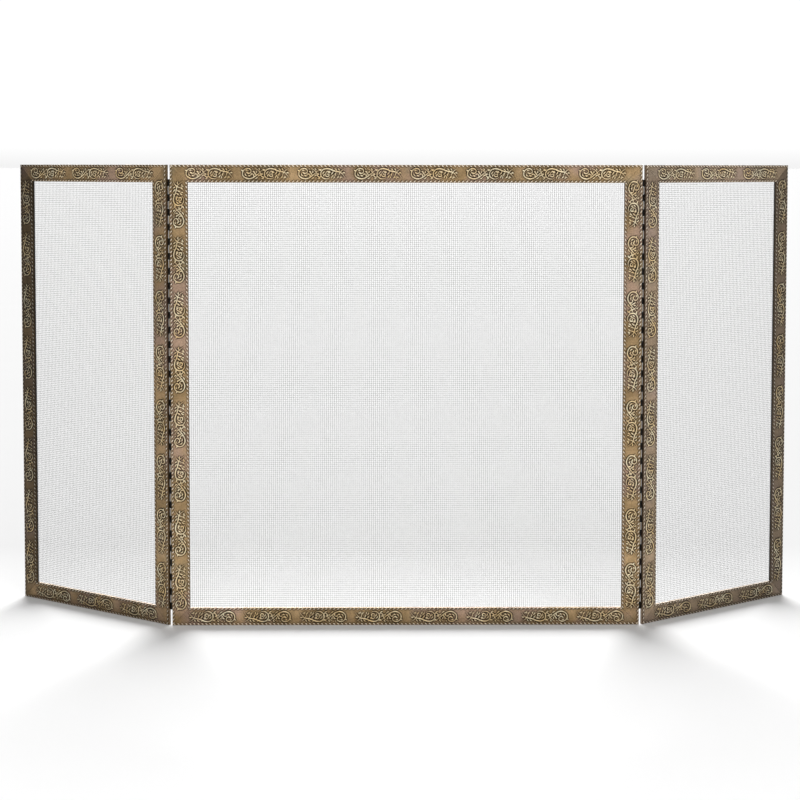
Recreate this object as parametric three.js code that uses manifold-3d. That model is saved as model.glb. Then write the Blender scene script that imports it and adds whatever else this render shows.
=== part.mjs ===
// Three-panel folding fireplace screen, made of embossed brass-finished channels that hold woven wire
// mesh. Two continuous hinges join the wings to the center panel.
// Millimetres, +Z up, front towards -Y. The origin is under the middle of the screen, on the floor.
import * as THREE from "three";
import { mergeVertices } from "three/addons/utils/BufferGeometryUtils.js";
import Module from "manifold-3d";

const wasm = await Module();
wasm.setup();

// Panels
const HEIGHT = 800;
const CENTER_WIDTH = 812;
const WING_WIDTH = 350;
const WING_ANGLE = 33.5; // degrees that each wing stands folded back from the center panel's plane

// Frame channels, bent from sheet: a face, an outer flange and a shorter inner flange
const FACE_WIDTH = 30.5;
const FRAME_DEPTH = 6;
const SHEET = 0.8;

// What the channels hold
const MESH_THICKNESS = 0.6;
const MESH_LAP = 12; // how far the mesh reaches in behind each channel's face
const RETAINER_THICKNESS = 1.1;
const CORNER_PLATE_THICKNESS = 1.2;
const CORNER_PLATE_ARM = 62;

// Continuous hinges
const KNUCKLE_PITCH = 12.7;
const HINGE_GAP = 2.4; // between the edges of two panels that are in line
const HINGE_BOTTOM_MARGIN = 26;
const HINGE_TOP_MARGIN = 22;
const LEAF_WIDTH = 19; // from the pin's axis to the leaf's free edge
const LEAF_THICKNESS = 0.95;
const PIN_RADIUS = 1.1;
const KNUCKLE_SIDES = 8;
const PIN_SIDES = 6;

// Screws that hold the leaves to the frames
const SCREWS_PER_LEAF = 3;
const SCREW_END_MARGIN = 76; // from each end of the hinge to its first screw
const SCREW_SHANK_RADIUS = 1.25;
const SCREW_HEAD_RADIUS = 2.8;
const SCREW_HEAD_HEIGHT = 0.9;
const SCREW_SIDES = 8;

// Clearances
const FIT_GAP = 0.3; // between pieces that lie against each other
const MITER_GAP = 0.2; // taken off each mitered end
const PIN_CLEARANCE = 0.08; // between the pin and the flats of the knuckles' bores
const KNUCKLE_END_GAP = 0.4; // between one knuckle's end and the next
const SWING_CLEARANCE = 0.4; // between a barrel and what it turns past

// Depths behind the front face, worked out from the back
const retainerBack = FRAME_DEPTH - 0.05;
const retainerFront = retainerBack - RETAINER_THICKNESS;
const meshBack = retainerFront - FIT_GAP;
const meshFront = meshBack - MESH_THICKNESS;
const innerFlangeDepth = meshFront - FIT_GAP;
const cornerPlateFront = SHEET + FIT_GAP;
const insideFlange = SHEET + FIT_GAP; // inset that clears a flange

// Hinge geometry: a knuckle is the leaf's sheet rolled around the pin
const boreRadius = (PIN_RADIUS + PIN_CLEARANCE) / Math.cos(Math.PI / PIN_SIDES);
const knuckleRadius = boreRadius + LEAF_THICKNESS;
const axisSetback = HINGE_GAP / 2; // from the panel's edge out to the pin's axis
const leafFront = FRAME_DEPTH + FIT_GAP;
const axisDepth = leafFront + knuckleRadius;
const leafBack = leafFront + LEAF_THICKNESS;
const hingeRoom = HEIGHT - HINGE_BOTTOM_MARGIN - HINGE_TOP_MARGIN;
const knuckleCount = 2 * Math.floor((hingeRoom / KNUCKLE_PITCH - 1) / 2) + 1;
const hingeLength = knuckleCount * KNUCKLE_PITCH;
const screwSetback = (LEAF_WIDTH + knuckleRadius) / 2; // from the axis to the screws, mid leaf
const screwHoleRadius = SCREW_SHANK_RADIUS + FIT_GAP;
const screwTip = cornerPlateFront + CORNER_PLATE_THICKNESS + FIT_GAP;

const FINISH = {
  antiqueBrass: { color: 0x8a7650, roughness: 0.45, metalness: 0.85 },
  wire: { color: 0x56544f, roughness: 0.5, metalness: 0.7 },
  steel: { color: 0x4a4844, roughness: 0.55, metalness: 0.8 },
  hingeBrass: { color: 0xa8926a, roughness: 0.4, metalness: 0.9 },
  blackened: { color: 0x1d1a17, roughness: 0.5, metalness: 0.6 },
};

// Adds a named mesh to a group, with a material of its own.
function addPiece(group, name, geometry, finish) {
  const mesh = new THREE.Mesh(geometry, new THREE.MeshStandardMaterial(FINISH[finish]));
  mesh.name = name;
  group.add(mesh);
  return mesh;
}

function toSolid(geometry) {
  const bare = new THREE.BufferGeometry();
  const source = geometry.index ? geometry.toNonIndexed() : geometry;
  bare.setAttribute("position", source.getAttribute("position"));
  const merged = mergeVertices(bare, 1e-4);
  const mesh = new wasm.Mesh({
    numProp: 3,
    vertProperties: merged.attributes.position.array,
    triVerts: new Uint32Array(merged.index.array),
  });
  return new wasm.Manifold(mesh);
}

function toGeometry(solid) {
  const mesh = solid.getMesh();
  const geometry = new THREE.BufferGeometry();
  geometry.setAttribute("position", new THREE.BufferAttribute(mesh.vertProperties, 3));
  geometry.setIndex(new THREE.BufferAttribute(mesh.triVerts, 1));
  const faceted = geometry.toNonIndexed();
  faceted.computeVertexNormals();
  return faceted;
}

function box(width, depth, height, x, y, z) {
  return new THREE.BoxGeometry(width, depth, height).translate(x, y, z);
}

function cylinderAlongZ(radius, height, sides, z) {
  const turned = new THREE.CylinderGeometry(radius, radius, height, sides).rotateX(Math.PI / 2);
  return turned.translate(0, 0, z);
}

// A panel's four edges, in its own frame: x from 0 to its width, y behind the front face, z up.
// Each edge has its start corner, the way in from the edge, and the way along it.
function panelEdges(width) {
  const up = new THREE.Vector3(0, 0, 1);
  const right = new THREE.Vector3(1, 0, 0);
  const down = up.clone().negate();
  const left = right.clone().negate();
  return {
    left: { start: new THREE.Vector3(0, 0, 0), inward: right, along: up, length: HEIGHT },
    top: { start: new THREE.Vector3(0, 0, HEIGHT), inward: down, along: right, length: width },
    right: { start: new THREE.Vector3(width, 0, HEIGHT), inward: left, along: down, length: HEIGHT },
    bottom: { start: new THREE.Vector3(width, 0, 0), inward: up, along: left, length: width },
  };
}

const DEPTH_AXIS = new THREE.Vector3(0, 1, 0);

// A bar along an edge, mitered at both ends. The outline's points are [inset from the edge, depth].
function miteredBar(edge, outline) {
  const shape = new THREE.Shape(outline.map(([inset, depth]) => new THREE.Vector2(inset, depth)));
  const geometry = new THREE.ExtrudeGeometry(shape, { depth: edge.length, bevelEnabled: false });
  const points = geometry.getAttribute("position");
  for (let i = 0; i < points.count; i++) {
    const cut = points.getX(i) + MITER_GAP;
    const atStart = points.getZ(i) < edge.length / 2;
    points.setZ(i, atStart ? cut : edge.length - cut);
  }
  const basis = new THREE.Matrix4().makeBasis(edge.inward, DEPTH_AXIS, edge.along);
  return geometry.applyMatrix4(basis.setPosition(edge.start));
}

// A U-shaped channel: the face, the outer flange to the back, and the inner flange to the mesh.
function channel(edge) {
  return miteredBar(edge, [
    [0, 0],
    [FACE_WIDTH, 0],
    [FACE_WIDTH, innerFlangeDepth],
    [FACE_WIDTH - SHEET, innerFlangeDepth],
    [FACE_WIDTH - SHEET, SHEET],
    [SHEET, SHEET],
    [SHEET, FRAME_DEPTH],
    [0, FRAME_DEPTH],
  ]);
}

// The flat strip that closes a channel's back and holds the mesh against its inner flange.
function retainer(edge) {
  return miteredBar(edge, [
    [insideFlange, retainerFront],
    [FACE_WIDTH, retainerFront],
    [FACE_WIDTH, retainerBack],
    [insideFlange, retainerBack],
  ]);
}

// An L-shaped plate inside the corner where an edge starts, behind both channels' faces.
function cornerPlate(edge) {
  const inner = FACE_WIDTH - insideFlange;
  const outline = [
    [insideFlange, insideFlange],
    [CORNER_PLATE_ARM, insideFlange],
    [CORNER_PLATE_ARM, inner],
    [inner, inner],
    [inner, CORNER_PLATE_ARM],
    [insideFlange, CORNER_PLATE_ARM],
  ];
  const shape = new THREE.Shape(outline.map(([along, inset]) => new THREE.Vector2(along, inset)));
  const options = { depth: CORNER_PLATE_THICKNESS, bevelEnabled: false };
  const plate = new THREE.ExtrudeGeometry(shape, options).translate(0, 0, cornerPlateFront);
  const basis = new THREE.Matrix4().makeBasis(edge.along, edge.inward, DEPTH_AXIS);
  return plate.applyMatrix4(basis.setPosition(edge.start));
}

function meshSheet(width) {
  const inset = FACE_WIDTH - MESH_LAP;
  const middle = (meshFront + meshBack) / 2;
  return box(width - 2 * inset, MESH_THICKNESS, HEIGHT - 2 * inset, width / 2, middle, HEIGHT / 2);
}

function screwHeights() {
  const step = (hingeLength - 2 * SCREW_END_MARGIN) / (SCREWS_PER_LEAF - 1);
  const first = HINGE_BOTTOM_MARGIN + SCREW_END_MARGIN;
  return Array.from({ length: SCREWS_PER_LEAF }, (_, i) => first + i * step);
}

// Screw holes through whatever lies behind a panel, at one distance across it.
function drillForScrews(geometry, x) {
  let solid = toSolid(geometry);
  for (const z of screwHeights()) {
    const hole = new THREE.CylinderGeometry(screwHoleRadius, screwHoleRadius, 4 * FRAME_DEPTH, SCREW_SIDES);
    solid = solid.subtract(toSolid(hole.translate(x, FRAME_DEPTH, z)));
  }
  return toGeometry(solid);
}

// A hinge leaf in a panel's frame. side is +1 where the panel lies to the axis's right, -1 to its left.
// Its knuckles are every second one, from the first given.
function hingeLeaf(axisX, side, firstKnuckle) {
  const clear = knuckleRadius + SWING_CLEARANCE;
  const plateWidth = LEAF_WIDTH - clear;
  const plateY = (leafFront + leafBack) / 2 - axisDepth;
  const middle = hingeLength / 2;
  const plateX = side * (clear + plateWidth / 2);
  let solid = toSolid(box(plateWidth, LEAF_THICKNESS, hingeLength, plateX, plateY, middle));
  const knuckleHeight = KNUCKLE_PITCH - KNUCKLE_END_GAP;
  const neckWidth = clear + LEAF_THICKNESS;
  for (let k = firstKnuckle; k < knuckleCount; k += 2) {
    const z = (k + 0.5) * KNUCKLE_PITCH;
    const barrel = cylinderAlongZ(knuckleRadius, knuckleHeight, KNUCKLE_SIDES, z);
    const neck = box(neckWidth, LEAF_THICKNESS, knuckleHeight, (side * neckWidth) / 2, plateY, z);
    solid = solid.add(toSolid(barrel)).add(toSolid(neck));
  }
  solid = solid.subtract(toSolid(cylinderAlongZ(boreRadius, 2 * hingeLength, PIN_SIDES, middle)));
  const placed = toGeometry(solid).translate(axisX, axisDepth, HINGE_BOTTOM_MARGIN);
  return drillForScrews(placed, axisX + side * screwSetback);
}

function hingePin(axisX) {
  const pin = cylinderAlongZ(PIN_RADIUS, hingeLength, PIN_SIDES, HINGE_BOTTOM_MARGIN + hingeLength / 2);
  return pin.translate(axisX, axisDepth, 0);
}

// A low pan-head screw from the leaf's back into the frame, pointing forwards.
function hingeScrew(x, z) {
  const headFront = leafBack + FIT_GAP / 2;
  const profile = [
    [0, screwTip],
    [SCREW_SHANK_RADIUS, screwTip],
    [SCREW_SHANK_RADIUS, headFront],
    [SCREW_HEAD_RADIUS, headFront],
    [0.75 * SCREW_HEAD_RADIUS, headFront + SCREW_HEAD_HEIGHT],
    [0, headFront + SCREW_HEAD_HEIGHT],
  ].map(([radius, y]) => new THREE.Vector2(radius, y));
  return new THREE.LatheGeometry(profile, SCREW_SIDES).translate(x, 0, z);
}

// One panel: four channels, four retainers, four corner plates and the mesh. hinges lists its
// hinged sides as { edge, hinge, leaf, firstKnuckle }.
function makePanel(name, width, hinges) {
  const panel = new THREE.Group();
  const edges = panelEdges(width);
  const corners = { left: "bottom_left", top: "top_left", right: "top_right", bottom: "bottom_right" };
  const drilled = {};
  for (const { edge, hinge, leaf, firstKnuckle } of hinges) {
    const side = edge === "left" ? 1 : -1;
    const axisX = edge === "left" ? -axisSetback : width + axisSetback;
    const screwX = axisX + side * screwSetback;
    const finish = leaf === "center" ? "hingeBrass" : "blackened";
    drilled[edge] = screwX;
    addPiece(panel, `${hinge}_hinge_${leaf}_leaf`, hingeLeaf(axisX, side, firstKnuckle), finish);
    screwHeights().forEach((z, i) => {
      addPiece(panel, `${hinge}_hinge_${leaf}_screw_${i + 1}`, hingeScrew(screwX, z), "hingeBrass");
    });
  }
  for (const [side, edge] of Object.entries(edges)) {
    const kind = edge.along.z === 0 ? "rail" : "stile";
    const strip = retainer(edge);
    const closed = side in drilled ? drillForScrews(strip, drilled[side]) : strip;
    addPiece(panel, `${name}_${side}_${kind}`, channel(edge), "antiqueBrass");
    addPiece(panel, `${name}_${side}_retainer`, closed, "steel");
    addPiece(panel, `${name}_${corners[side]}_corner_plate`, cornerPlate(edge), "steel");
  }
  addPiece(panel, `${name}_mesh`, meshSheet(width), "wire");
  return panel;
}

// The wing's group turns about the pin's axis, so the panel inside it is placed from that axis.
function makeWing(name, hinge, side) {
  const hingeEdge = side < 0 ? "right" : "left";
  const hinges = [{ edge: hingeEdge, hinge, leaf: "wing", firstKnuckle: 0 }];
  const panel = makePanel(name, WING_WIDTH, hinges);
  panel.position.set(side < 0 ? -axisSetback - WING_WIDTH : axisSetback, -axisDepth, 0);
  const wing = new THREE.Group();
  wing.add(panel);
  wing.position.set(side * (CENTER_WIDTH / 2 + axisSetback), axisDepth, 0);
  wing.rotation.z = side * THREE.MathUtils.degToRad(WING_ANGLE);
  return wing;
}

const screen = new THREE.Group();

const center = makePanel("center", CENTER_WIDTH, [
  { edge: "left", hinge: "left", leaf: "center", firstKnuckle: 1 },
  { edge: "right", hinge: "right", leaf: "center", firstKnuckle: 1 },
]);
addPiece(center, "left_hinge_pin", hingePin(-axisSetback), "steel");
addPiece(center, "right_hinge_pin", hingePin(CENTER_WIDTH + axisSetback), "steel");
center.position.x = -CENTER_WIDTH / 2;

screen.add(center);
screen.add(makeWing("left_wing", "left", -1));
screen.add(makeWing("right_wing", "right", 1));

// The screen's footprint is centered on the origin.
const footprint = new THREE.Box3().setFromObject(screen);
screen.position.y = -(footprint.min.y + footprint.max.y) / 2;

export default screen;
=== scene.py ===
"""Looks of a folding fireplace screen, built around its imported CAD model. Lengths are in metres.

Each embossed channel, mesh sheet, hinge leaf, pin, screw and retaining strip is rebuilt in detail where its
CAD node lies. The corner plates, which are inside the frame, stay as they are with a better material.
"""

import math
import zlib

import bpy
import numpy as np
from mathutils import Euler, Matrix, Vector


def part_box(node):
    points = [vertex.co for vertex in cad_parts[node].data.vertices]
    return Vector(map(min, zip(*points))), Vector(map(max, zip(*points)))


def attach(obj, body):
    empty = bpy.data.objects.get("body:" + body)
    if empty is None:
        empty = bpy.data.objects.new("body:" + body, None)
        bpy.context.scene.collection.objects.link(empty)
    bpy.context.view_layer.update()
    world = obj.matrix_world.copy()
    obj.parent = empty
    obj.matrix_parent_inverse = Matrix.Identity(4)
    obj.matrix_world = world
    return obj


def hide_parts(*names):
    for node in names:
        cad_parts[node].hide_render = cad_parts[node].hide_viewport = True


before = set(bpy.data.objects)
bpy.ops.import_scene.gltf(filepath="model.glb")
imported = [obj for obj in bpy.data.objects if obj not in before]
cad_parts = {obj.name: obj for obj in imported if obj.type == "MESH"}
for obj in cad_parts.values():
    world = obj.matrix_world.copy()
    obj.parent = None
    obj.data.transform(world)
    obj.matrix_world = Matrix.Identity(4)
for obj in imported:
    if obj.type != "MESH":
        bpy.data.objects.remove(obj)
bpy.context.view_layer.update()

MM = 0.001

# Frame channels
SHEET = 0.8 * MM
CORNER_RADIUS = 0.9 * MM
CORNER_STEPS = 4
MITER_GAP = 0.2 * MM
FIT_GAP = 0.3 * MM
FACE_STEP = 0.56 * MM
ALONG_STEP = 0.62 * MM

# Relief pressed into a channel's face
RASTER = 0.25 * MM
VINE_HEIGHT = 1.15 * MM
BEAD_HEIGHT = 1.05 * MM
FIELD_DEPTH = 0.3 * MM
STIPPLE_HEIGHT = 0.035 * MM
BEAD_PITCH = 6.95 * MM
BEAD_INSET = 2.0 * MM
BEAD_HALF_LENGTH = 2.8 * MM
BEAD_HALF_WIDTH = 1.3 * MM
BEAD_SLANT = math.radians(33)
BORDER_WIDTH = 4.6 * MM
MOTIF_LENGTH = 82.5 * MM
MOTIF_GAP = 15 * MM
MOTIF_END_MARGIN = 27.5 * MM
STROKE_BOLDNESS = 1.14
FULL_HEIGHT_RADIUS = 1.2 * MM  # strokes thinner than this are pressed less high
PRESS_SOFTNESS = 0.17 * MM
STIPPLE_GRAIN = 0.3 * MM
STIPPLE_CEILING = 0.15 * MM  # the stipple fades out on relief up to this height
HOLLOW_REACH = 1.1 * MM  # a hollow is lower than the mean height this far round it
HOLLOW_DROP = 0.2 * MM  # and at this much lower it is fully dark
PLAIN_HOLLOW = 0.3  # how dark the faces without relief are: painted shade on the flanges and inner skin
RELIEF_SEED = 11

# Painted shade and patina: how light a strip is at its start, in its middle and at its end, clockwise, the
# dark strips mostly painted shade, and how dusty a panel's ground is. The tone also varies a little along
# each strip.
SHADE_AND_PATINA_TONES = {
    "center_top_rail": (1.02, 1.06, 1.02),
    "center_left_stile": (1.0, 1.03, 1.0),
    "center_right_stile": (1.0, 1.03, 1.0),
    "center_bottom_rail": (0.98, 0.97, 0.98),
    "left_wing_left_stile": (0.3, 0.22, 0.2),
    "left_wing_top_rail": (0.25, 0.84, 0.86),
    "left_wing_right_stile": (0.74, 0.72, 0.66),
    "left_wing_bottom_rail": (0.66, 0.58, 0.38),
    "right_wing_left_stile": (0.9, 0.93, 0.96),
    "right_wing_top_rail": (1.05, 1.08, 0.75),
    "right_wing_right_stile": (0.45, 0.4, 0.4),
    "right_wing_bottom_rail": (0.5, 0.62, 0.7),
}
TONE_ENDS = (0.0, 0.3, 0.7, 1.0)  # shares of a strip: its middle tone holds from the second to the third
DUSTY = {"right_wing": 0.45}
TONE_SPACING = 70 * MM
TONE_SPREAD = 0.14

# Woven wire
WIRE_PITCH_ACROSS = 3.535 * MM
WIRE_PITCH_UP = 3.44 * MM
WIRE_RADIUS = 0.24 * MM
WIRE_WANDER = 0.035 * MM
WIRE_SEED = 7
WING_WIRE_SHADE = {"left_wing": 1.0, "right_wing": 0.8}  # painted shade on the wings' wires, from 0, none, to 1, full
SHADED_WIRE_BRIGHTNESS = 0.5  # a fully shaded wire's brightness, as a share of an unshaded wire's

# Hinges
KNUCKLE_PITCH = 12.7 * MM
KNUCKLE_END_GAP = 0.4 * MM
LEAF_THICKNESS = 0.95 * MM
SWING_CLEARANCE = 0.4 * MM
CURL_STEPS = 26
CURL_SWEEP = math.radians(318)
SHARP_ANGLE = math.radians(35)
PIN_SEGMENTS = 24
PIN_CHAMFER = 0.4 * MM
PIN_CROWN = 0.05 * MM

# Screws
SCREW_HEAD_HEIGHT = 0.9 * MM
SCREW_SLOT_WIDTH = 0.75 * MM
SCREW_SLOT_DEPTH = 0.5 * MM
SCREW_RIM = 0.25 * MM
SCREW_SEGMENTS = 32
SCREW_TURNS = (0.7, 1.9)  # radians: the first screw's slot, and the step from one screw to the next

# Studio: brightness that the camera sees at the horizon and above it, the floor's color before and behind
# the screen, and the light that the world casts from the horizon and from overhead
BACKDROP = 1.05
HORIZON = 0.9
HORIZON_FADE = 0.015
FLOOR_REACH = 400.0
FLOOR_FRONT = 0.88
FLOOR_BEHIND = 0.7
FLOOR_FALLOFF = (-0.1, 0.5)
WORLD_LOW = 0.15
WORLD_HIGH = 0.27
WORLD_CEILING = 0.7
KEY_SUN = (16, 44, 40, 0.85)  # azimuth, elevation and spread in degrees, strength
BACK_SUN = (180, 30, 44, 4.95)

# Camera, as high as the screen's top edge
CAMERA_PLACE = (-0.0375, -2.8895, 0.7995)
CAMERA_TURN = (90 - 3.06, -0.051, -0.543)  # degrees
CAMERA_LENS = 73.09
CAMERA_SHIFT = -0.185
CAMERA_REACH = 1000

# Retaining strips
WELD_SPACING = 92 * MM
WELD_RADIUS = 2.6 * MM
WELD_DEPTH = 0.3 * MM
WELD_STEPS = 9


# ---------------------------------------------------------------- panels


class Panel:
    """One of the three panels: its axes and size, taken from its CAD channels."""

    def __init__(self, name, body):
        self.name = name
        self.body = body
        rail = node_points(f"{name}_bottom_rail")[:, :2]
        spread = np.cov((rail - rail.mean(0)).T)
        direction = np.linalg.eigh(spread)[1][:, 1]
        direction = direction * np.sign(direction[0])
        self.across = np.array([direction[0], direction[1], 0.0])
        self.back = np.array([-direction[1], direction[0], 0.0])
        sides = ("left_stile", "right_stile", "top_rail", "bottom_rail")
        points = np.vstack([node_points(f"{name}_{side}") for side in sides])
        low = [(points @ axis).min() for axis in (self.across, self.back)]
        self.origin = self.across * low[0] + self.back * low[1]
        self.width = (points @ self.across).max() - low[0]
        self.depth = (points @ self.back).max() - low[1]
        self.height = points[:, 2].max()

    def place(self, x, depth, z):
        """World points from arrays of panel coordinates: across, behind the front face, and up."""
        x, depth, z = np.broadcast_arrays(x, depth, z)
        flat = self.origin + x[..., None] * self.across + depth[..., None] * self.back
        return flat + z[..., None] * np.array([0.0, 0.0, 1.0])

    def local_box(self, node):
        """The lowest and highest panel coordinates of a CAD node."""
        points = node_points(node) - self.origin
        local = np.stack([points @ self.across, points @ self.back, points[:, 2]], axis=1)
        return local.min(0), local.max(0)

    def edges(self):
        """The four edges, clockwise: start corner, way in and way along, as (across, up) pairs."""
        w, h = self.width, self.height
        return {
            "left_stile": ((0, 0), (1, 0), (0, 1), h),
            "top_rail": ((0, h), (0, -1), (1, 0), w),
            "right_stile": ((w, h), (-1, 0), (0, -1), h),
            "bottom_rail": ((w, 0), (0, 1), (-1, 0), w),
        }


def node_points(name):
    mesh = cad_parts[name].data
    co = np.zeros(len(mesh.vertices) * 3)
    mesh.vertices.foreach_get("co", co)
    return co.reshape(-1, 3)


# ---------------------------------------------------------------- mesh making


def add_piece(name, body, slot, points, quads, ngons=(), smooth=True, attributes=None):
    """A closed mesh object on a body, in its slot's material. smooth is for the quads, one value or one each;
    the ngons are flat. attributes holds values for each point."""
    quads = np.asarray(quads, dtype=np.int32).reshape(-1, 4)
    loops = np.concatenate([quads.ravel(), *[np.asarray(n, dtype=np.int32) for n in ngons]])
    sizes = np.array([4] * len(quads) + [len(n) for n in ngons], dtype=np.int32)
    starts = np.concatenate([[0], np.cumsum(sizes)[:-1]]).astype(np.int32)
    shading = np.zeros(len(sizes), dtype=bool)
    shading[: len(quads)] = smooth
    mesh = bpy.data.meshes.new(name)
    mesh.vertices.add(len(points))
    mesh.vertices.foreach_set("co", np.asarray(points, dtype=np.float32).ravel())
    mesh.loops.add(len(loops))
    mesh.loops.foreach_set("vertex_index", loops)
    mesh.polygons.add(len(sizes))
    mesh.polygons.foreach_set("loop_start", starts)
    mesh.polygons.foreach_set("use_smooth", shading)
    mesh.update(calc_edges=True)
    for key, values in (attributes or {}).items():
        kind = "FLOAT" if values.ndim == 1 else "FLOAT_VECTOR"
        field = "value" if values.ndim == 1 else "vector"
        layer = mesh.attributes.new(key, kind, "POINT")
        layer.data.foreach_set(field, values.astype(np.float32).ravel())
    mesh.materials.append(MATERIALS[slot])
    piece = bpy.data.objects.new(name, mesh)
    bpy.context.scene.collection.objects.link(piece)
    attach(piece, body)
    return piece


def ring_quads(rings, count, first=0):
    """Quads that join successive closed rings of count points each."""
    row = np.arange(rings - 1)[:, None] * count + first
    a = np.arange(count)[None, :]
    b = (a + 1) % count
    return np.stack([row + a, row + b, row + count + b, row + count + a], axis=-1).reshape(-1, 4)


# ---------------------------------------------------------------- relief


def catmull_rom(points, radii, step):
    """A smooth line through the points, with its radius, sampled about every step."""
    p = np.array(points, dtype=float)
    r = np.interp(np.linspace(0, 1, len(p)), np.linspace(0, 1, len(radii)), radii)
    q = np.column_stack([p, r])
    q = np.vstack([2 * q[0] - q[1], q, 2 * q[-1] - q[-2]])
    out = []
    for i in range(1, len(q) - 2):
        span = np.linalg.norm(q[i + 1, :2] - q[i, :2])
        t = np.linspace(0, 1, max(2, int(span / step)), endpoint=False)[:, None]
        a, b, c, d = q[i - 1], q[i], q[i + 1], q[i + 2]
        cubic = 2 * b + (c - a) * t + (2 * a - 5 * b + 4 * c - d) * t**2
        out.append(0.5 * (cubic + (3 * b - a - 3 * c + d) * t**3))
    return np.vstack([*out, q[-2:-1]])


# One vine motif, in millimetres: u runs from its first scroll to its leafy tail, v from the middle of the
# strip towards its outer edge. Each stem is its points and its half widths from start to end. A leaf is three
# points, and a berry is its place and its radius.
STEMS = [
    (
        [(8.5, 2.2), (11.4, 0.5), (15.2, 2.6), (15.4, 6.6), (10.8, 9.0), (5.2, 7.8), (1.4, 3.2)]
        + [(1.6, -2.8), (6.0, -7.0), (12.6, -8.6), (19.2, -6.6), (24.8, -2.8), (29.4, 1.0)]
        + [(34.2, 5.2), (37.4, 8.2)],
        [1.3, 0.9, 1.0, 1.1, 1.15, 1.0, 0.55],
    ),
    (
        [(22.4, 9.0), (27.0, 6.6), (31.6, 2.0), (33.4, -3.0), (36.4, -6.0), (39.6, -3.4), (39.4, 1.6)],
        [0.6, 1.0, 0.8],
    ),
    (
        [(53.0, -0.6), (52.6, -4.4), (48.4, -4.2), (47.0, -0.4), (49.4, 3.6), (54.6, 4.2)],
        [1.2, 0.85, 0.9],
    ),
    (
        [(55.6, -5.6), (51.0, -8.6), (44.8, -8.2), (39.8, -4.0), (39.0, 1.6), (42.4, 6.8), (48.6, 8.8)]
        + [(55.4, 7.8), (61.4, 5.2), (67.0, 3.8), (72.6, 2.6), (77.4, -1.4), (82.0, -7.6)],
        [0.6, 0.95, 1.15, 1.1, 1.0, 0.55],
    ),
    ([(81.0, 8.8), (76.6, 6.6), (72.6, 2.6), (70.4, -2.2), (71.0, -6.8)], [0.55, 1.0, 0.6]),
]
LEAVES = [
    ((5.0, 1.4), (6.2, -2.2), (9.8, -4.6)),
    ((6.2, 4.4), (8.0, 6.0), (11.2, 5.6)),
    ((9.8, -1.8), (12.6, -3.6), (16.0, -3.2)),
    ((19.4, -6.6), (20.6, -3.0), (18.6, 0.4)),
    ((24.8, -2.8), (22.6, 0.2), (20.0, 3.6)),
    ((18.6, 5.0), (20.4, 3.4), (23.4, 3.2)),
    ((21.8, -8.8), (25.0, -7.6), (28.4, -4.4)),
    ((28.0, 9.2), (30.0, 8.0), (31.4, 4.8)),
    ((28.0, -5.6), (29.6, -2.6), (33.4, -3.0)),
    ((42.2, -1.4), (43.4, 1.8), (46.6, 4.6)),
    ((44.6, -5.2), (44.4, -2.4), (46.8, -0.6)),
    ((57.6, -8.2), (58.6, -4.6), (62.6, -1.0)),
    ((56.6, -1.6), (59.0, 1.2), (61.4, 5.2)),
    ((64.4, -4.2), (64.0, -0.6), (67.0, 3.8)),
    ((62.0, 8.8), (65.4, 7.6), (67.6, 4.4)),
    ((68.6, 9.2), (70.6, 7.6), (72.4, 4.4)),
    ((75.4, 0.8), (79.0, 1.8), (82.2, 0.6)),
    ((66.6, -8.0), (68.8, -5.6), (70.4, -2.2)),
    ((-1.6, 7.2), (0.6, 5.4), (2.2, 6.2)),
    ((14.0, -2.0), (16.6, -0.4), (19.8, -1.0)),
    ((23.6, 0.6), (25.4, 3.4), (24.4, 5.8)),
    ((34.6, 8.8), (38.0, 6.0), (40.6, 8.6)),
    ((33.0, -8.8), (36.0, -8.2), (39.4, -5.0)),
    ((50.0, 5.8), (53.0, 2.4), (57.0, 2.6)),
    ((60.6, -8.6), (62.2, -6.0), (62.0, -3.0)),
    ((71.6, -8.6), (73.4, -6.4), (73.0, -3.4)),
]
BERRIES = [(34.8, -0.6, 1.4), (19.0, 8.2, 1.0), (50.2, -0.6, 1.2), (58.8, 8.6, 0.9), (75.6, -5.8, 1.1)]
LEAF_HALF_WIDTHS = [0.35, 1.15, 0.3]
STEM_STEP = 0.5
LEAF_STEP = 0.4


def motif_strokes():
    """Every stem, leaf and berry of one motif, as rows of (u, v, radius) in metres."""
    strokes = [catmull_rom(points, radii, STEM_STEP) for points, radii in STEMS]
    strokes += [catmull_rom(points, LEAF_HALF_WIDTHS, LEAF_STEP) for points in LEAVES]
    strokes += [np.array([berry]) for berry in BERRIES]
    boldness = np.array([1, 1, STROKE_BOLDNESS])
    return [stroke * boldness * MM for stroke in strokes]


def window_round(height, t, s, reach):
    """The part of a raster within reach of a place, and how far each of its rows and columns lies from it."""
    i0, i1 = max(int((t - reach) / RASTER), 0), int((t + reach) / RASTER) + 2
    j0, j1 = max(int((s - reach) / RASTER), 0), int((s + reach) / RASTER) + 2
    window = height[i0:i1, j0:j1]
    dt = (np.arange(i0, i0 + window.shape[0]) * RASTER - t)[:, None]
    ds = (np.arange(j0, j0 + window.shape[1]) * RASTER - s)[None, :]
    return window, dt, ds


def press_dot(height, t, s, radius, top):
    """Raises a round-topped dot on a raster of heights."""
    window, dt, ds = window_round(height, t, s, radius + RASTER)
    dome = 1 - (dt**2 + ds**2) / radius**2
    np.maximum(window, top * np.sqrt(np.clip(dome, 0, 1)), out=window)


def press_bead(height, t, s, slant):
    """Raises one slanted bead of the rope border."""
    window, dt, ds = window_round(height, t, s, BEAD_HALF_LENGTH)
    along = (dt * math.cos(slant) + ds * math.sin(slant)) / BEAD_HALF_LENGTH
    aside = (ds * math.cos(slant) - dt * math.sin(slant)) / BEAD_HALF_WIDTH
    dome = np.clip(1 - along**2 - aside**2, 0, 1)
    np.maximum(window, BEAD_HEIGHT * np.sqrt(dome), out=window)


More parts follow.
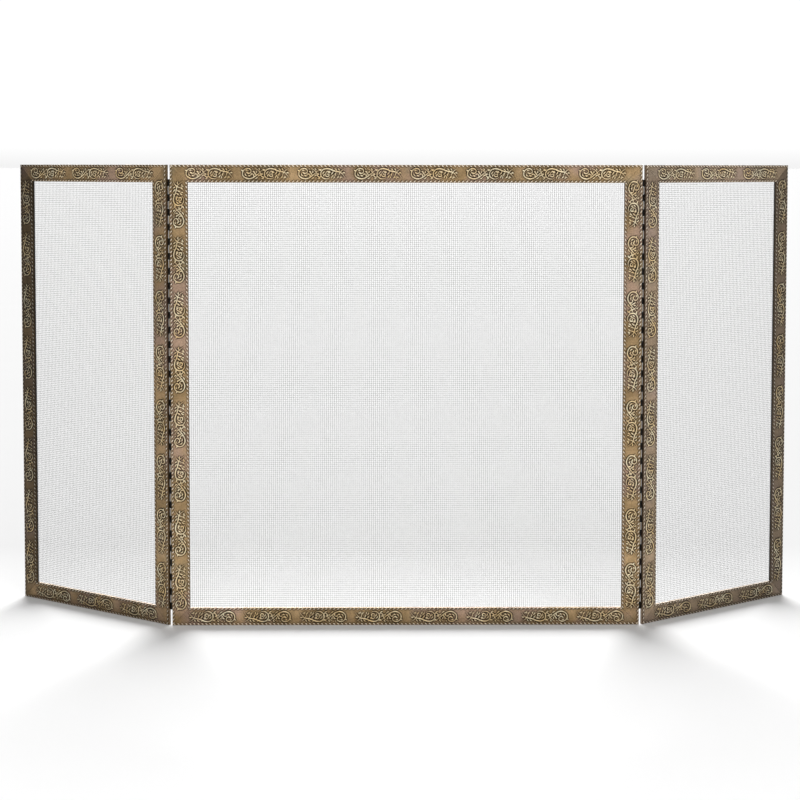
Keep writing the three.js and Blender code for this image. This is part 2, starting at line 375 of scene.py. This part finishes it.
def blur(values, radius):
    """A Gaussian blur along both axes of a raster."""
    reach = int(3 * radius / RASTER)
    x = np.arange(-reach, reach + 1) * RASTER
    kernel = np.exp(-0.5 * (x / radius) ** 2)
    kernel /= kernel.sum()
    for axis in (0, 1):
        padded = np.apply_along_axis(lambda row: np.pad(row, reach, mode="edge"), axis, values)
        values = np.apply_along_axis(lambda row: np.convolve(row, kernel, mode="valid"), axis, padded)
    return values


def strip_relief(length, width):
    """Rasters of height and of hollow shade for a whole strip, from its edge inwards."""
    height = np.zeros((int(length / RASTER) + 2, int(width / RASTER) + 2))
    room = length - 2 * MOTIF_END_MARGIN
    count = round((room + MOTIF_GAP) / (MOTIF_LENGTH + MOTIF_GAP))
    stretch = room / (count * (MOTIF_LENGTH + MOTIF_GAP) - MOTIF_GAP)
    for k in range(count):
        head = MOTIF_END_MARGIN + k * stretch * (MOTIF_LENGTH + MOTIF_GAP)
        for stroke in motif_strokes():
            for u, v, radius in stroke:
                top = VINE_HEIGHT * min(1, radius / FULL_HEIGHT_RADIUS)
                press_dot(height, head + stretch * u, width / 2 - v, radius, top)
    beads = round(length / BEAD_PITCH)
    for k in range(beads):
        t = (k + 0.5) * length / beads
        press_bead(height, t, BEAD_INSET, BEAD_SLANT)
        press_bead(height, t, width - BEAD_INSET, -BEAD_SLANT)
    height = blur(height, PRESS_SOFTNESS)
    hollow = np.clip((blur(height, HOLLOW_REACH) - height) / HOLLOW_DROP, 0, 1)
    rng = np.random.RandomState(RELIEF_SEED)
    stipple = blur(rng.normal(0, 1, height.shape), STIPPLE_GRAIN)
    ground = np.clip(1 - height / STIPPLE_CEILING, 0, 1)
    return height + STIPPLE_HEIGHT * ground * stipple / stipple.std(), hollow


def sample(raster, t, s):
    """Bilinear samples of a raster at arrays of places."""
    x = np.clip(t / RASTER, 0, raster.shape[0] - 1.001)
    y = np.clip(s / RASTER, 0, raster.shape[1] - 1.001)
    i, j = x.astype(int), y.astype(int)
    fx, fy = x - i, y - j
    low = raster[i, j] * (1 - fy) + raster[i, j + 1] * fy
    high = raster[i + 1, j] * (1 - fy) + raster[i + 1, j + 1] * fy
    return low * (1 - fx) + high * fx


# ---------------------------------------------------------------- mitered strips


def mitered_strip(panel, edge, outline, rows, depth_at):
    """Points of a strip along an edge and its rings. outline is a closed list of (inset, depth);
    rows are shares of the length; depth_at turns (along, inset, depth) into the final depth."""
    (x0, z0), inward, along, length = edge
    inset, depth = (np.array(values)[None, :] for values in zip(*outline))
    share = np.asarray(rows)[:, None]
    start = inset + MITER_GAP
    t = start + share * (length - 2 * start)
    s = np.broadcast_to(inset, t.shape)
    d = depth_at(t, s, np.broadcast_to(depth, t.shape))
    x = x0 + inward[0] * s + along[0] * t
    z = z0 + inward[1] * s + along[1] * t
    points = panel.place(x, d, z).reshape(-1, 3)
    return points, t.ravel(), s.ravel()


def strip_faces(row_count, column_count):
    """Quads round a strip of row_count rings and its two end polygons."""
    quads = ring_quads(row_count, column_count)
    last = (row_count - 1) * column_count
    start_cap = list(range(column_count))[::-1]
    end_cap = [last + i for i in range(column_count)]
    return quads, [start_cap, end_cap]


def rounded_corner(center, start_angle):
    angles = start_angle + np.linspace(0, math.pi / 2, CORNER_STEPS + 1)
    turn = [(math.cos(a), math.sin(a)) for a in angles]
    return [(center[0] + CORNER_RADIUS * c, center[1] + CORNER_RADIUS * s) for c, s in turn]


def make_channel(panel, side, relief):
    """An embossed channel: its face in relief, two flanges with rounded bends, and its inner skin."""
    node = f"{panel.name}_{side}"
    edge = panel.edges()[side]
    width = face_width(panel)
    flange = panel.local_box(f"{panel.name}_mesh")[0][1] - FIT_GAP
    steps = round((width - 2 * CORNER_RADIUS) / FACE_STEP)
    face = [(s, 0.0) for s in np.linspace(CORNER_RADIUS, width - CORNER_RADIUS, steps + 1)[1:-1]]
    outer = [(0.0, panel.depth)]
    outer += rounded_corner((CORNER_RADIUS, CORNER_RADIUS), math.pi)
    outer += face
    outer += rounded_corner((width - CORNER_RADIUS, CORNER_RADIUS), 1.5 * math.pi)
    outer += [(width, flange)]
    inner = [(width - SHEET, flange), (width - SHEET, SHEET), (SHEET, SHEET), (SHEET, panel.depth)]
    height, hollow = relief
    on_face = np.array([0 < s < width and d <= CORNER_RADIUS and d != SHEET for s, d in outer + inner])
    on_face[len(outer) :] = False

    def pressed(t, s, d):
        edge_fade = np.clip(np.minimum(s, width - s) / CORNER_RADIUS, 0, 1)
        raised = sample(height, t, s) - FIELD_DEPTH * edge_fade
        return np.where(on_face[None, :], d - raised * edge_fade, d)

    rows = np.linspace(0, 1, round(edge[3] / ALONG_STEP) + 1)
    points, t, s = mitered_strip(panel, edge, outer + inner, rows, pressed)
    columns = len(outer) + len(inner)
    quads, caps = strip_faces(len(rows), columns)
    front = np.tile(on_face, len(rows))
    rng = np.random.RandomState(zlib.crc32(node.encode()) % 2**31)
    knots = np.arange(0, edge[3] + 2 * TONE_SPACING, TONE_SPACING)
    # The strip's painted shade and patina, with a little random tone along it
    start, middle, end = SHADE_AND_PATINA_TONES[node]
    tone = np.interp(t / edge[3], TONE_ENDS, (start, middle, middle, end))
    tone *= np.interp(t, knots, rng.uniform(1 - TONE_SPREAD, 1 + TONE_SPREAD, len(knots)))
    attributes = {
        "raised": np.where(front, sample(height, t, s) / VINE_HEIGHT, 0.0),
        # The flanges and inner skin get painted shade; the face's hollows get dirt and painted shade
        "hollow": np.where(front, sample(hollow, t, s), PLAIN_HOLLOW),
        "tone": tone,
        "dusty": np.full(len(tone), DUSTY.get(panel.name, 0.0)),
        "border": np.clip(2 - np.minimum(s, width - s) / BORDER_WIDTH * 2, 0, 1),
        "strip": np.column_stack([t, s, np.zeros_like(t)]),
    }
    smooth = np.tile(np.arange(columns) < len(outer) - 1, len(rows) - 1)
    name = f"{node}_embossed"
    piece = add_piece(name, panel.body, "antique_brass", points, quads, caps, smooth, attributes)
    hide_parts(node)


def face_width(panel):
    low, high = panel.local_box(f"{panel.name}_bottom_rail")
    return high[2] - low[2]


def make_retainer(panel, side):
    """A flat retaining strip with a row of spot-weld dimples on its back."""
    node = f"{panel.name}_{side.rsplit('_', 1)[0]}_retainer"
    edge = panel.edges()[side]
    low, high = panel.local_box(node)
    inset = SHEET + FIT_GAP
    width = face_width(panel)
    count = round(edge[3] / WELD_SPACING)
    welds = [(k + 0.5) * edge[3] / count for k in range(count)]
    middle = (inset + width) / 2
    spread = np.linspace(-WELD_RADIUS, WELD_RADIUS, WELD_STEPS)
    back = [(middle + x, high[1]) for x in spread[::-1]]
    outline = [(inset, low[1]), (width, low[1]), (width, high[1]), *back, (inset, high[1])]
    ends = 2 * width
    rows = sorted({0.0, 1.0, *[(w + x - ends / 2) / (edge[3] - ends) for w in welds for x in spread]})
    rows = [r for r in rows if 0 <= r <= 1]

    def dimpled(t, s, d):
        away = np.min([np.hypot(t - w, s - middle) for w in welds], axis=0)
        dip = WELD_DEPTH * np.clip(1 - (away / WELD_RADIUS) ** 2, 0, 1)
        return np.where(d > (low[1] + high[1]) / 2, d - dip, d)

    points = mitered_strip(panel, edge, outline, rows, dimpled)[0]
    quads, caps = strip_faces(len(rows), len(outline))
    piece = add_piece(f"{node}_strip", panel.body, "dark_steel", points, quads, caps, smooth=False)
    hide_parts(node)


# ---------------------------------------------------------------- woven wire


def wire_set(panel, across_first, count, crossings, low, high, rng, chosen):
    """Points of parallel crimped wires. Wires run up if across_first is true, else across."""
    run_axis = 2 if across_first else 0
    step_axis = 0 if across_first else 2
    step = (high[step_axis] - low[step_axis]) / count
    cross = (high[run_axis] - low[run_axis]) / crossings
    wander = rng.normal(0, WIRE_WANDER, (count, crossings + 2))
    wander = (wander + np.roll(wander, 1, 1) + np.roll(wander, 2, 1) + np.roll(wander, 3, 1)) / 2
    index = np.arange(count)[chosen]
    place = low[step_axis] + (index[:, None] + 0.5) * step + wander[chosen]
    run = low[run_axis] + (np.arange(crossings + 2) - 0.5) * cross
    run[0], run[-1] = low[run_axis], high[run_axis]
    weave = (-1.0) ** (index[:, None] + np.arange(crossings + 2)[None, :])
    side = 1 if across_first else -1
    depth = (low[1] + high[1]) / 2 + side * WIRE_RADIUS * weave
    run = np.broadcast_to(run, depth.shape)
    x, z = (place, run) if across_first else (run, place)
    return panel.place(x, depth, z)


def make_wires(name, panel, centers, sideways):
    """Closed four-sided wires round the given center lines."""
    wires, stations = centers.shape[:2]
    offsets = WIRE_RADIUS * np.array([sideways, panel.back, -sideways, -panel.back])
    points = (centers[:, :, None, :] + offsets[None, None]).reshape(-1, 3)
    one = ring_quads(stations, 4)
    first = np.arange(wires)[:, None, None] * stations * 4
    last = (stations - 1) * 4
    caps = np.array([[3, 2, 1, 0], [last, last + 1, last + 2, last + 3]])
    if np.dot(np.cross(sideways, panel.back), centers[0, 1] - centers[0, 0]) < 0:
        one, caps = one[:, ::-1], caps[:, ::-1]
    quads = (np.vstack([one, caps])[None] + first).reshape(-1, 4)
    tarnish = np.full(len(points), WING_WIRE_SHADE.get(panel.name, 0.0))
    piece = add_piece(name, panel.body, "wire_mesh", points, quads, attributes={"tarnish": tarnish})
    piece.visible_shadow = False
    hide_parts(f"{panel.name}_mesh")


def make_mesh(panel, halves):
    """Upright and level wires over and under each other, in one or two pieces each way."""
    low, high = panel.local_box(f"{panel.name}_mesh")
    columns = round((high[0] - low[0]) / WIRE_PITCH_ACROSS)
    rows = round((high[2] - low[2]) / WIRE_PITCH_UP)
    up = np.array([0.0, 0.0, 1.0])
    directions = [("upright", True, columns, rows, panel.across), ("level", False, rows, columns, up)]
    for label, across_first, count, crossings, sideways in directions:
        cuts = np.linspace(0, count, halves + 1).astype(int)
        for part in range(halves):
            rng = np.random.RandomState(WIRE_SEED + count)
            chosen = slice(cuts[part], cuts[part + 1])
            centers = wire_set(panel, across_first, count, crossings, low, high, rng, chosen)
            name = f"{panel.name}_{label}_wires" + (f"_{part + 1}" if halves > 1 else "")
            make_wires(name, panel, centers, sideways)


# ---------------------------------------------------------------- hinges


def leaf_sections(side, radius, leaf_width):
    """Paired outer and inner points of a rolled knuckle, and of the flat leaf, round the pin."""
    clear = radius + SWING_CLEARANCE
    angles = -math.pi / 2 - side * np.linspace(0, CURL_SWEEP, CURL_STEPS + 1)
    outer = [(side * clear, -radius)] + [(radius * math.cos(a), radius * math.sin(a)) for a in angles]
    hole = radius - LEAF_THICKNESS
    inner = [(side * clear, -hole)] + [(hole * math.cos(a), hole * math.sin(a)) for a in angles]
    flat = [(side * leaf_width, -radius), (side * clear, -radius)]
    flat_inner = [(side * leaf_width, -hole), (side * clear, -hole)]
    return (outer, inner), (flat, flat_inner)


def ribbon(outer, inner, low, high):
    """A band of sheet bent along a line and standing from low to high: (x, depth, z) and quads."""
    n = len(outer)
    rows = [[(x, y, z) for x, y in line] for z in (low, high) for line in (outer, inner)]
    points = np.array(sum(rows, []))
    quads = []
    for i in range(n - 1):
        a, b = i, i + 1
        quads.append((a, b, 2 * n + b, 2 * n + a))
        quads.append((n + b, n + a, 3 * n + a, 3 * n + b))
        quads.append((b, a, n + a, n + b))
        quads.append((2 * n + a, 2 * n + b, 3 * n + b, 3 * n + a))
    quads.append((n, 0, 2 * n, 3 * n))
    quads.append((n - 1, 2 * n - 1, 4 * n - 1, 3 * n - 1))
    return points, np.array(quads)


def make_leaf(panel, hinge, leaf, first_knuckle):
    """A continuous hinge leaf: a flat plate and every second rolled knuckle."""
    node = f"{hinge}_hinge_{leaf}_leaf"
    pin_low, pin_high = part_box(f"{hinge}_hinge_pin")
    pin = np.array((pin_low + pin_high) / 2) - panel.origin
    axis_x, axis_depth = pin @ panel.across, pin @ panel.back
    low, high = panel.local_box(node)
    side = 1 if axis_x < panel.width / 2 else -1
    radius = axis_depth - low[1]
    leaf_width = high[0] - axis_x if side > 0 else axis_x - low[0]
    knuckle, plate = leaf_sections(side, radius, leaf_width)
    length = pin_high.z - pin_low.z
    count = round(length / KNUCKLE_PITCH)
    pitch = length / count
    shells = [ribbon(*plate, pin_low.z, pin_high.z)]
    for k in range(first_knuckle, count, 2):
        bottom = pin_low.z + k * pitch + KNUCKLE_END_GAP / 2
        shells.append(ribbon(*knuckle, bottom, bottom + pitch - KNUCKLE_END_GAP))
    points, quads, total = [], [], 0
    barrel = np.repeat([0.0] + [1.0] * (len(shells) - 1), [len(shell_points) for shell_points, _ in shells])
    for shell_points, shell_quads in shells:
        points.append(shell_points)
        quads.append((shell_quads if side < 0 else shell_quads[:, ::-1]) + total)
        total += len(shell_points)
    local = np.vstack(points)
    world = panel.place(axis_x + local[:, 0], axis_depth + local[:, 1], local[:, 2])
    faces = np.vstack(quads)
    # The wing leaf is near black: painted shade for the deep gap round the knuckles
    slot = "hinge_brass" if leaf == "center" else "hinge_black"
    piece = add_piece(f"{node}_rolled", panel.body, slot, world, faces, attributes={"barrel": barrel})
    piece.data.set_sharp_from_angle(angle=SHARP_ANGLE)
    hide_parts(node)


def make_pin(hinge, panel):
    """A round pin with slightly domed, peened ends."""
    low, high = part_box(f"{hinge}_hinge_pin")
    center = (low + high) / 2
    radius = (high.y - low.y) / 2
    rings = [(0.7 * radius, low.z + PIN_CROWN), (radius, low.z + PIN_CHAMFER)]
    rings += [(radius, high.z - PIN_CHAMFER), (0.7 * radius, high.z - PIN_CROWN)]
    angles = np.arange(PIN_SEGMENTS) * 2 * math.pi / PIN_SEGMENTS
    points = np.array([(r * math.cos(a), r * math.sin(a), z) for r, z in rings for a in angles])
    world = points + np.array([center.x, center.y, 0.0])
    quads, caps = strip_faces(len(rings), PIN_SEGMENTS)
    node = f"{hinge}_hinge_pin"
    piece = add_piece(f"{node}_round", panel.body, "dark_steel", world, quads, caps)
    piece.data.set_sharp_from_angle(angle=SHARP_ANGLE)
    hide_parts(node)


def make_screw(node, panel, turn):
    """A slotted pan-head screw, its head on the hinge leaf's back."""
    low, high = panel.local_box(node)
    center = (low + high) / 2
    head_radius = (high[2] - low[2]) / 2
    seat = high[1] - SCREW_HEAD_HEIGHT
    shank = 0.45 * head_radius
    rings = [(shank, low[1]), (shank, seat), (head_radius, seat), (head_radius, seat + SCREW_RIM)]
    dome = SCREW_HEAD_HEIGHT - SCREW_RIM
    for a in [math.radians(degrees) for degrees in range(15, 76, 15)]:
        rings.append((head_radius * math.cos(a), seat + SCREW_RIM + dome * math.sin(a)))
    rings += [(0.14 * head_radius, high[1]), (0.03 * head_radius, high[1])]
    angles = np.arange(SCREW_SEGMENTS) * 2 * math.pi / SCREW_SEGMENTS
    r = np.array([ring[0] for ring in rings])[:, None]
    d = np.array([ring[1] for ring in rings])[:, None]
    x, z = r * np.cos(angles), r * np.sin(angles)
    off = np.abs(-x * math.sin(turn) + z * math.cos(turn))
    slot_floor = high[1] - SCREW_SLOT_DEPTH
    d = np.where((off < SCREW_SLOT_WIDTH) & (d > slot_floor), slot_floor, np.broadcast_to(d, x.shape))
    world = panel.place(center[0] + x, d, center[2] + z).reshape(-1, 3)
    quads, caps = strip_faces(len(rings), SCREW_SEGMENTS)
    quads, caps = quads[:, ::-1], [cap[::-1] for cap in caps]
    piece = add_piece(f"{node}_slotted", panel.body, "hinge_brass", world, quads, caps)
    piece.data.set_sharp_from_angle(angle=SHARP_ANGLE)
    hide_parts(node)


# ---------------------------------------------------------------- materials


def set_range(node, low, high, to_low, to_high):
    """Sets a Map Range node, which takes low..high to to_low..to_high."""
    for key, value in (("From Min", low), ("From Max", high), ("To Min", to_low), ("To Max", to_high)):
        node.inputs[key].default_value = value


class Nodes:
    """A short way to write a material's node tree."""

    def __init__(self, name):
        self.material = bpy.data.materials.new(name)
        self.material.use_nodes = True
        self.tree = self.material.node_tree
        self.shader = self.tree.nodes["Principled BSDF"]
        self.coords = self.tree.nodes.new("ShaderNodeTexCoord").outputs["Object"]

    def link(self, source, target):
        self.tree.links.new(source, target)
        return target

    def attribute(self, name, output="Fac"):
        node = self.tree.nodes.new("ShaderNodeAttribute")
        node.attribute_name = name
        return node.outputs[output]

    def stretched(self, vector, scale):
        node = self.tree.nodes.new("ShaderNodeMapping")
        node.inputs["Scale"].default_value = scale
        self.link(vector, node.inputs["Vector"])
        return node.outputs["Vector"]

    def noise(self, scale, detail=4.0, roughness=0.55, vector=None):
        node = self.tree.nodes.new("ShaderNodeTexNoise")
        node.inputs["Scale"].default_value = scale
        node.inputs["Detail"].default_value = detail
        node.inputs["Roughness"].default_value = roughness
        self.link(vector or self.coords, node.inputs["Vector"])
        return node.outputs["Fac"]

    def ramp(self, factor, stops):
        """A color ramp; each stop is (position, color)."""
        node = self.tree.nodes.new("ShaderNodeValToRGB")
        elements = node.color_ramp.elements
        while len(elements) < len(stops):
            elements.new(0.5)
        for element, (position, color) in zip(elements, stops):
            element.position = position
            element.color = (*color, 1.0)
        self.link(factor, node.inputs["Fac"])
        return node.outputs["Color"]

    def remap(self, value, low, high, to_low=0.0, to_high=1.0):
        node = self.tree.nodes.new("ShaderNodeMapRange")
        set_range(node, low, high, to_low, to_high)
        self.link(value, node.inputs["Value"])
        return node.outputs["Result"]

    def math(self, operation, a, b):
        node = self.tree.nodes.new("ShaderNodeMath")
        node.operation = operation
        for socket, value in zip(node.inputs, (a, b)):
            if isinstance(value, (int, float)):
                socket.default_value = value
            else:
                self.link(value, socket)
        return node.outputs["Value"]

    def mix(self, factor, a, b):
        node = self.tree.nodes.new("ShaderNodeMix")
        node.data_type = "RGBA"
        self.link(factor, node.inputs["Factor"])
        for key, value in (("A", a), ("B", b)):
            socket = next(s for s in node.inputs if s.name == key and s.type == "RGBA")
            if isinstance(value, tuple):
                socket.default_value = (*value, 1.0)
            else:
                self.link(value, socket)
        return next(s for s in node.outputs if s.type == "RGBA")

    def tint(self, color, amount):
        """The color times an amount."""
        node = self.tree.nodes.new("ShaderNodeVectorMath")
        node.operation = "SCALE"
        self.link(color, node.inputs[0])
        self.link(amount, node.inputs["Scale"])
        return node.outputs["Vector"]

    def bump(self, height, strength, distance):
        node = self.tree.nodes.new("ShaderNodeBump")
        node.inputs["Strength"].default_value = strength
        node.inputs["Distance"].default_value = distance
        self.link(height, node.inputs["Height"])
        self.link(node.outputs["Normal"], self.shader.inputs["Normal"])


DARK_BRONZE, BRONZE, LIGHT_BRONZE = (0.3, 0.2, 0.095), (0.44, 0.295, 0.145), (0.62, 0.42, 0.225)
MAUVE, GREEN, DUST = (0.5, 0.34, 0.26), (0.34, 0.3, 0.185), (0.42, 0.345, 0.29)
# Bright brass from wear, with a painted highlight, on the raised relief and the rope border
GOLD, PALE_GOLD, ROPE_GOLD = (0.88, 0.64, 0.32), (1.0, 0.9, 0.64), (0.98, 0.87, 0.72)
# Dirt and painted shade in the hollows
GRIME_AND_SHADE = (0.026, 0.016, 0.007)
DARK_WIRE, LIGHT_WIRE = (0.26, 0.26, 0.262), (0.42, 0.42, 0.42)
DARK_STEEL, LIGHT_STEEL, RUST = (0.032, 0.029, 0.026), (0.085, 0.076, 0.066), (0.14, 0.062, 0.028)
DARK_BRASS, LIGHT_BRASS = (0.27, 0.205, 0.12), (0.56, 0.45, 0.3)
# Near black of the wing leaf: painted shade for the deep gap round the knuckles
BLACK, LIGHTER_BLACK = (0.003, 0.0025, 0.002), (0.012, 0.01, 0.008)


def antique_brass():
    """Aged brass: brown and bronze patina, hollows darkened by dirt and painted shade,
    relief brightened by wear and painted highlight.
    """
    n = Nodes("antique_brass")
    patches = n.noise(22, 3.0, 0.6)
    bronze = n.ramp(patches, [(0.32, DARK_BRONZE), (0.5, BRONZE), (0.68, LIGHT_BRONZE)])
    mauve = n.mix(n.remap(n.noise(13, 2.0), 0.5, 0.64, 0.0, 0.75), bronze, MAUVE)
    green = n.mix(n.remap(n.noise(18, 2.0), 0.58, 0.72, 0.0, 0.55), mauve, GREEN)
    dusted = n.mix(n.attribute("dusty"), green, DUST)
    speckled = n.tint(dusted, n.remap(n.noise(420, 3.0, 0.65), 0.3, 0.7, 0.72, 1.25))
    # The hollows darken with dirt and with painted shade on top of it
    grime_and_shade = n.mix(n.attribute("hollow"), speckled, GRIME_AND_SHADE)
    # The raised relief and the rope border brighten with wear and with a painted highlight
    height = n.remap(n.attribute("raised"), 0.35, 0.85)
    wear_and_highlight = n.math("MULTIPLY", height, n.remap(n.noise(60, 2.0), 0.3, 0.62, 0.65, 1.0))
    gold = n.ramp(n.noise(45, 2.0), [(0.35, GOLD), (0.65, PALE_GOLD)])
    rubbed_and_highlit = n.mix(n.attribute("border"), gold, ROPE_GOLD)
    # The strip's tone, painted shade and patina, darkens the ground fully and the relief less
    tone = n.attribute("tone")
    toned = n.mix(wear_and_highlight, n.tint(grime_and_shade, tone), n.tint(rubbed_and_highlit, n.math("POWER", tone, 0.5)))
    n.link(toned, n.shader.inputs["Base Color"])
    n.shader.inputs["Metallic"].default_value = 0.78
    rough = n.math("ADD", n.remap(n.noise(110, 3.0), 0.3, 0.7, 0.34, 0.5), n.math("MULTIPLY", wear_and_highlight, -0.08))
    n.link(rough, n.shader.inputs["Roughness"])
    lines = n.noise(1.0, 2.0, 0.5, n.stretched(n.attribute("strip", "Vector"), (60, 2600, 1)))
    grain = n.noise(900, 3.0)
    n.bump(n.math("ADD", lines, grain), 0.25, 0.00025)
    return n.material


def brushed_hinge(name, dark, light, metallic, roughness, plate_shade):
    """Hinge sheet with upright draw marks. Its plate is darker than its knuckles by plate_shade, a painted
    shade.
    """
    n = Nodes(name)
    drawn = n.noise(1.0, 3.0, 0.6, n.stretched(n.coords, (1500, 1500, 60)))
    spots = n.noise(240, 3.0)
    color = n.ramp(n.math("MULTIPLY", n.math("ADD", drawn, spots), 0.5), [(0.36, dark), (0.62, light)])
    # Painted shade: the plate, and the screws, which have no barrel attribute, are darker than the knuckles
    shaded = n.tint(color, n.remap(n.attribute("barrel"), 0.0, 1.0, plate_shade, 1.0))
    n.link(shaded, n.shader.inputs["Base Color"])
    n.shader.inputs["Metallic"].default_value = metallic
    n.link(n.remap(spots, 0.3, 0.7, *roughness), n.shader.inputs["Roughness"])
    n.bump(drawn, 0.2, 0.0002)
    return n.material


def wire_metal():
    """Grey drawn wire with a thin uneven oxide, and painted shade on the wings' wires."""
    n = Nodes("wire_mesh")
    oxide = n.noise(130, 4.0, 0.65)
    color = n.ramp(oxide, [(0.32, DARK_WIRE), (0.68, LIGHT_WIRE)])
    shaded_wire_color = n.tint(color, n.remap(n.attribute("tarnish"), 0.0, 1.0, 1.0, SHADED_WIRE_BRIGHTNESS))
    n.link(shaded_wire_color, n.shader.inputs["Base Color"])
    n.shader.inputs["Metallic"].default_value = 0.6
    n.link(n.remap(oxide, 0.3, 0.7, 0.3, 0.5), n.shader.inputs["Roughness"])
    n.bump(n.noise(2500, 2.0), 0.15, 0.0001)
    return n.material


def dark_steel():
    """Black-oiled steel strip with mill marks and faint rust in patches."""
    n = Nodes("dark_steel")
    mill = n.noise(160, 5.0, 0.65)
    base = n.ramp(mill, [(0.32, DARK_STEEL), (0.66, LIGHT_STEEL)])
    rust = n.mix(n.remap(n.noise(75, 4.0), 0.62, 0.78, 0.0, 0.7), base, RUST)
    n.link(rust, n.shader.inputs["Base Color"])
    n.shader.inputs["Metallic"].default_value = 0.6
    n.link(n.remap(mill, 0.3, 0.7, 0.42, 0.68), n.shader.inputs["Roughness"])
    n.bump(n.noise(700, 4.0), 0.25, 0.0002)
    return n.material


MATERIALS = {
    "antique_brass": antique_brass(),
    "wire_mesh": wire_metal(),
    "dark_steel": dark_steel(),
    "hinge_brass": brushed_hinge("hinge_brass", DARK_BRASS, LIGHT_BRASS, 0.8, (0.28, 0.46), 0.36),
    "hinge_black": brushed_hinge("hinge_black", BLACK, LIGHTER_BLACK, 0.1, (0.5, 0.7), 1.0),
}


# ---------------------------------------------------------------- stage, lights, camera


def make_floor():
    """A pale floor with painted shade behind the screen, where it is a little darker."""
    mesh = bpy.data.meshes.new("floor")
    corners = [(FLOOR_REACH * x, FLOOR_REACH * y, 0) for x, y in ((-1, -1), (1, -1), (1, 1), (-1, 1))]
    mesh.from_pydata(corners, [], [(0, 1, 2, 3)])
    n = Nodes("pale_floor")
    split = n.tree.nodes.new("ShaderNodeSeparateXYZ")
    n.link(n.coords, split.inputs["Vector"])
    # Painted shade: the floor darkens from y = -0.1 to y = 0.5, behind the screen
    falloff = n.remap(split.outputs["Y"], *FLOOR_FALLOFF)
    shade = n.math("ADD", falloff, n.remap(n.noise(3.0, 2.0), 0.0, 1.0, -0.05, 0.05))
    pale = (FLOOR_FRONT,) * 3, (FLOOR_BEHIND,) * 3
    n.link(n.mix(shade, *pale), n.shader.inputs["Base Color"])
    n.shader.inputs["Roughness"].default_value = 0.9
    n.shader.inputs["Specular IOR Level"].default_value = 0.1
    mesh.materials.append(n.material)
    floor = bpy.data.objects.new("floor", mesh)
    bpy.context.scene.collection.objects.link(floor)


def sun(name, azimuth, elevation, softness, strength):
    """A wide, soft light from an azimuth (0 is in front, 90 at the right) and elevation, in degrees."""
    data = bpy.data.lights.new(name, "SUN")
    data.angle = math.radians(softness)
    data.energy = strength
    light = bpy.data.objects.new(name, data)
    light.rotation_euler = Euler((math.radians(90 - elevation), 0, math.radians(azimuth)))
    bpy.context.scene.collection.objects.link(light)


def make_world():
    """A white surround for the camera. What lights the screen is dimmer, and dimmest at the horizon."""
    world = bpy.data.worlds.new("studio")
    world.use_nodes = True
    tree = world.node_tree
    background = tree.nodes["Background"]
    background.inputs["Color"].default_value = (1, 1, 1, 1)
    coords = tree.nodes.new("ShaderNodeTexCoord")
    split = tree.nodes.new("ShaderNodeSeparateXYZ")
    tree.links.new(coords.outputs["Generated"], split.inputs["Vector"])
    lit = tree.nodes.new("ShaderNodeMapRange")
    set_range(lit, 0.0, WORLD_CEILING, WORLD_LOW, WORLD_HIGH)
    tree.links.new(split.outputs["Z"], lit.inputs["Value"])
    path = tree.nodes.new("ShaderNodeLightPath")
    seen = tree.nodes.new("ShaderNodeMapRange")
    set_range(seen, 0.0, HORIZON_FADE, HORIZON, BACKDROP)
    tree.links.new(split.outputs["Z"], seen.inputs["Value"])
    strength = tree.nodes.new("ShaderNodeMapRange")
    tree.links.new(seen.outputs["Result"], strength.inputs["To Max"])
    tree.links.new(path.outputs["Is Camera Ray"], strength.inputs["Value"])
    tree.links.new(lit.outputs["Result"], strength.inputs["To Min"])
    tree.links.new(strength.outputs["Result"], background.inputs["Strength"])
    bpy.context.scene.world = world


def make_lights():
    sun("key", *KEY_SUN)
    sun("back", *BACK_SUN)


def make_camera():
    data = bpy.data.cameras.new("camera")
    data.sensor_width = 36.0
    data.lens = CAMERA_LENS
    data.shift_y = CAMERA_SHIFT
    data.clip_end = CAMERA_REACH
    camera = bpy.data.objects.new("camera", data)
    camera.location = CAMERA_PLACE
    camera.rotation_euler = Euler([math.radians(turn) for turn in CAMERA_TURN])
    bpy.context.scene.collection.objects.link(camera)
    bpy.context.scene.camera = camera


# ---------------------------------------------------------------- the screen

PANELS = {
    "center": Panel("center", "center_panel"),
    "left_wing": Panel("left_wing", "left_wing"),
    "right_wing": Panel("right_wing", "right_wing"),
}

reliefs = {}
for panel in PANELS.values():
    for side, edge in panel.edges().items():
        key = round(edge[3], 4)
        if key not in reliefs:
            reliefs[key] = strip_relief(edge[3], face_width(panel))
        make_channel(panel, side, reliefs[key])
        make_retainer(panel, side)
    make_mesh(panel, 2 if panel.name == "center" else 1)

for hinge in ("left", "right"):
    for leaf, owner, first in (("center", "center", 1), ("wing", f"{hinge}_wing", 0)):
        make_leaf(PANELS[owner], hinge, leaf, first)
        screws = sorted(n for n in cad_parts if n.startswith(f"{hinge}_hinge_{leaf}_screw"))
        for i, node in enumerate(screws):
            make_screw(node, PANELS[owner], SCREW_TURNS[0] + SCREW_TURNS[1] * i)
    make_pin(hinge, PANELS["center"])

for name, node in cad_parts.items():
    if name.endswith("_corner_plate"):
        node.data.materials.clear()
        node.data.materials.append(MATERIALS["dark_steel"])

make_floor()
make_world()
make_lights()
make_camera()
bpy.context.scene.view_settings.view_transform = "Standard"
